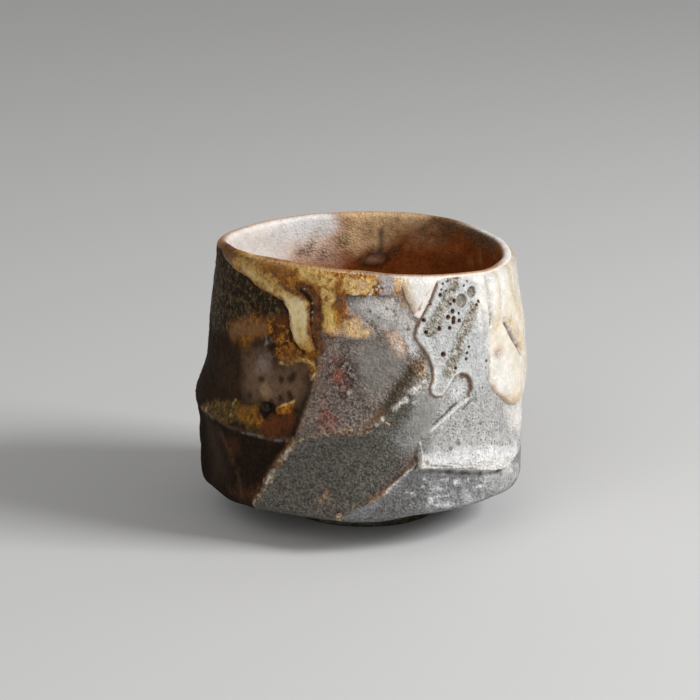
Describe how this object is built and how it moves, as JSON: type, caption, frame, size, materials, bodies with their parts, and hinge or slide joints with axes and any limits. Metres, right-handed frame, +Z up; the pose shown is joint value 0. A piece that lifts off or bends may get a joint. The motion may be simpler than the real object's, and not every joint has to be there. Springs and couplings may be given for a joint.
{
  "type": "guinomi sake cup",
  "caption": "Small wood-fired stoneware sake cup with a knife-faceted wall, a lapped slab, bubbled grey, cream and amber glaze runs, a wavy rounded lip and a low foot ring.",
  "frame": {"origin": "centre of the foot ring's resting face, where the cup's axis meets the table", "axes": "+Z up along the cup's axis, -Y towards the carved and glazed front, +X to the right seen from the front"},
  "size_m": [0.0671, 0.0695, 0.0568],
  "materials": {
    "clay": "dry, charred stoneware with grit",
    "foot_clay": "bare, dark fired clay",
    "slab_clay": "dry clay with a pale ash skin",
    "grey_glaze": "satin grey with burst bubbles",
    "cream_glaze": "soft gloss cream",
    "amber_glaze": "glossy amber ash runs",
    "bead_glass": "dark olive glass",
    "feldspar": "matt cream grain"
  },
  "bodies": {
    "root": {"clay_body": "clay", "foot_ring": "foot_clay", "lapped_slab": "slab_clay", "bubbled_glaze": "grey_glaze", "cream_glaze": "cream_glaze", "ash_glaze": "amber_glaze", "glass_bead": "bead_glass", "feldspar_grains": "feldspar"}
  },
  "joints": []
}
